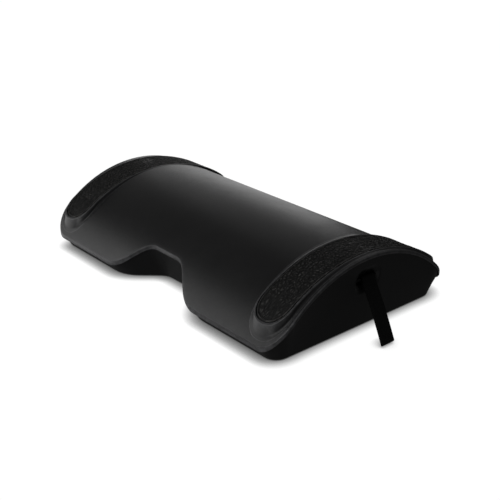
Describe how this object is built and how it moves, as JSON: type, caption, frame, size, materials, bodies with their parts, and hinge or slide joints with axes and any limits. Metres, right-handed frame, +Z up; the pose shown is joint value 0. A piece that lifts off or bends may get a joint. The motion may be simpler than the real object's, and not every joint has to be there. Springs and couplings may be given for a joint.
{
  "type": "rocking footrest",
  "caption": "Reversible rocking footrest: a crowned cover with rubber-faced rocker rails over a notched flat tray with rubber pads, and a webbing pull strap at one end.",
  "frame": {"origin": "middle of the badge plate's outer face, in the plane that the plate and the two deck pads stand on", "axes": "+X along the long axis towards the pull strap, +Y towards the back long side, +Z up, out of the crown"},
  "size_m": [0.5059, 0.275, 0.0925],
  "materials": {
    "shell_plastic": "satin moulded black with a fine grain",
    "badge_plastic": "smooth satin black",
    "grip_rubber": "wrinkled, pebbled matte black",
    "strap_webbing": "flat woven black webbing",
    "plated_steel": "zinc plated"
  },
  "bodies": {
    "footrest": {"arch_cover": "shell_plastic", "base_tray": "shell_plastic", "rocker_strip_left": "grip_rubber", "rocker_strip_right": "grip_rubber", "deck_pad_front": "grip_rubber", "deck_pad_back": "grip_rubber", "badge_plate": "badge_plastic", "strap_housing": "shell_plastic", "strap_pin": "plated_steel", "housing_screw_1": "plated_steel", "housing_screw_2": "plated_steel", "shell_screw_1": "plated_steel", "shell_screw_2": "plated_steel", "shell_screw_3": "plated_steel", "shell_screw_4": "plated_steel", "shell_screw_5": "plated_steel", "shell_screw_6": "plated_steel", "shell_screw_7": "plated_steel", "shell_screw_8": "plated_steel"},
    "strap": {"pull_strap": "strap_webbing"}
  },
  "joints": [
    {"name": "strap_swing", "type": "hinge", "parent": "footrest", "child": "strap", "pos_m": [0.2245, 0, 0.062], "axis": [0, -1, 0], "range_deg": [0, 100]}
  ]
}
